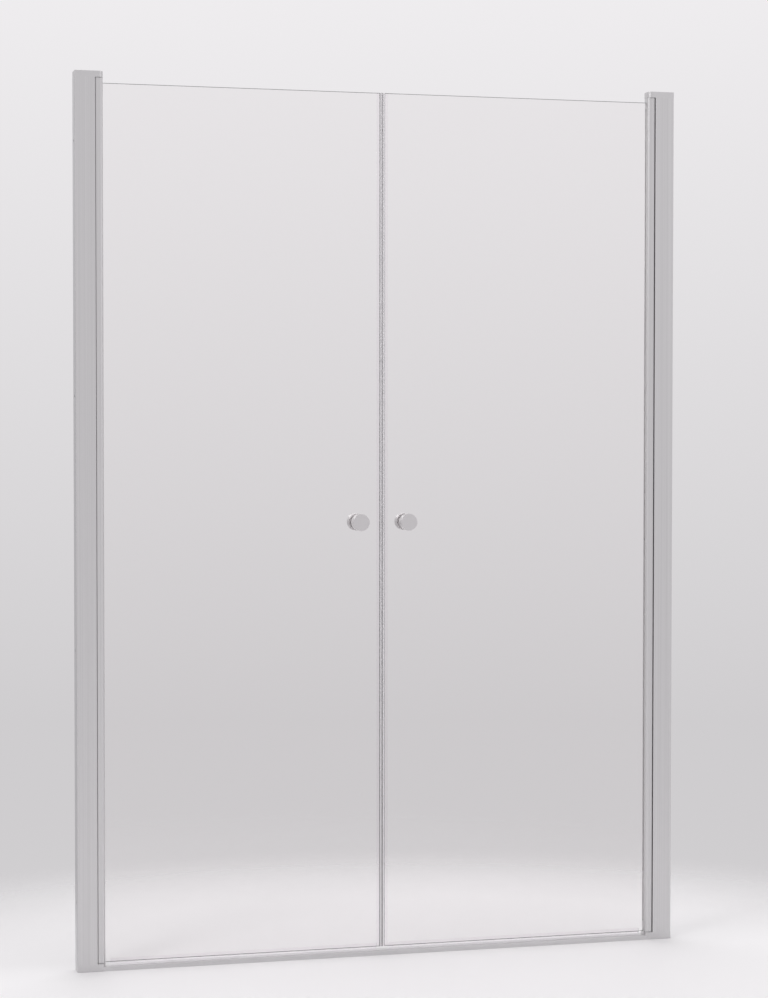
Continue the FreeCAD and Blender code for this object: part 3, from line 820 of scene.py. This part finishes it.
def hang_backdrop(scene, studio):
    """A backdrop that camera and glass see, a plain room that metal mirrors, an even sky for the rest."""
    world = bpy.data.worlds.new("studio_backdrop")
    scene.world = world
    world.use_nodes = True
    tree = world.node_tree
    tree.nodes.clear()
    direction = add_node(tree, "TexCoord").outputs["Generated"]
    way = add_node(tree, "SeparateXYZ", {"Vector": direction}).outputs
    rays = add_node(tree, "LightPath").outputs

    # Each share grows from 0 to 1 as the direction of view turns along one axis
    turns = {"off_floor": ("Z", -0.4, -0.15, "SMOOTHSTEP"), "climb": ("Z", -0.12, 0.17, "LINEAR"),
             "ceiling": ("Z", 0.0, 0.2, "LINEAR"), "inwards": ("Y", 0.2, 0.8, "LINEAR")}
    shares = {name: add_node(tree, "MapRange", {"Value": way[axis], "From Min": start, "From Max": end},
                             interpolation_type=kind).outputs["Result"]
              for name, (axis, start, end, kind) in turns.items()}
    # A ray that glass lets through counts as glossy too, so it is taken off
    shares["mirrored"] = add_node(tree, "Math", {0: rays["Is Glossy Ray"], 1: rays["Is Transmission Ray"]},
                                  operation="SUBTRACT").outputs[0]

    tones = {name: rgba(getattr(studio, name)) for name in (
        "floor", "backdrop_low", "backdrop_high", "mirrored_room", "mirrored_shower")}
    for name, share, first, second in (("low_wall", "off_floor", "floor", "backdrop_low"),
                                       ("wall", "climb", "low_wall", "backdrop_high"),
                                       ("shower", "ceiling", "mirrored_shower", "backdrop_high"),
                                       ("room", "inwards", "mirrored_room", "shower"),
                                       ("backdrop", "mirrored", "wall", "room")):
        tones[name] = add_node(tree, "Mix", {0: shares[share], 6: tones[first], 7: tones[second]},
                               data_type="RGBA").outputs[2]

    seen = rays["Is Camera Ray"]
    for kind in ("Is Glossy Ray", "Is Transmission Ray"):
        seen = add_node(tree, "Math", {0: seen, 1: rays[kind]}, operation="MAXIMUM").outputs[0]
    backdrop = add_node(tree, "Background", {"Color": tones["backdrop"], "Strength": 1.0})
    sky = add_node(tree, "Background", {"Color": (1.0, 1.0, 1.0, 1.0), "Strength": studio.sky})
    both = add_node(tree, "MixShader", {0: seen, 1: sky.outputs[0], 2: backdrop.outputs[0]})
    add_node(tree, "OutputWorld", {"Surface": both.outputs[0]})


def set_lamp(name, place, width, power):
    """A round soft lamp that faces the middle of the door."""
    bpy.ops.object.select_all(action="DESELECT")
    bpy.ops.object.light_add(type="AREA", location=place)
    lamp = bpy.context.object
    lamp.name = name
    lamp.data.shape = "DISK"
    lamp.data.size = width
    lamp.data.energy = power
    lamp.visible_camera = False
    lamp.visible_transmission = False
    aim = (cad_box[0] + cad_box[1]) / 2 - Vector(place)
    lamp.rotation_euler = aim.to_track_quat("-Z", "Y").to_euler()


def place_camera(scene, studio):
    """A camera at the photograph's viewing angle."""
    bpy.ops.object.select_all(action="DESELECT")
    bpy.ops.object.camera_add(location=studio.camera_place)
    camera = bpy.context.object
    camera.name = "studio_camera"
    turn = Matrix.Rotation(-studio.camera_yaw, 3, "Z")
    tilt = Matrix.Rotation(math.pi / 2 - studio.camera_pitch, 3, "X")
    roll = Matrix.Rotation(studio.camera_roll, 3, "Z")
    camera.rotation_mode = "QUATERNION"
    camera.rotation_quaternion = (turn @ tilt @ roll).to_quaternion()
    camera.data.sensor_fit = "VERTICAL"
    camera.data.sensor_height = 36.0
    camera.data.lens = studio.lens
    scene.camera = camera


class DOOR_PT_panel(bpy.types.Panel):
    """Lists the steps that dress the door"""

    bl_idname = "DOOR_PT_panel"
    bl_label = "Shower door"
    bl_space_type = "VIEW_3D"
    bl_region_type = "UI"
    bl_category = "Shower door"

    def draw(self, context):
        column = self.layout.column()
        for step in STEPS:
            column.operator(step.bl_idname)
        for group in SETTINGS:
            settings = getattr(context.scene, group)
            column.separator()
            for name in settings.bl_rna.properties.keys():
                if name not in ("rna_type", "name"):
                    column.prop(settings, name)


STEPS = (DOOR_OT_posts, DOOR_OT_pivots, DOOR_OT_rubbers, DOOR_OT_threshold, DOOR_OT_panes,
         DOOR_OT_closing_strips, DOOR_OT_bottom_strips, DOOR_OT_knobs, DOOR_OT_studio)
SETTINGS = {"door_sizes": DoorSizes, "door_finish": DoorFinish, "door_studio": DoorStudio}


def register():
    for group in (*SETTINGS.values(), *STEPS, DOOR_PT_panel):
        bpy.utils.register_class(group)
    for name, group in SETTINGS.items():
        setattr(bpy.types.Scene, name, PointerProperty(type=group))


def unregister():
    for name in SETTINGS:
        delattr(bpy.types.Scene, name)
    for group in (DOOR_PT_panel, *reversed(STEPS), *SETTINGS.values()):
        bpy.utils.unregister_class(group)


def main():
    """Runs every step in order."""
    register()
    for step in STEPS:
        name = step.bl_idname.split(".")[1]
        getattr(bpy.ops.door, name)()


if __name__ == "__main__":
    main()
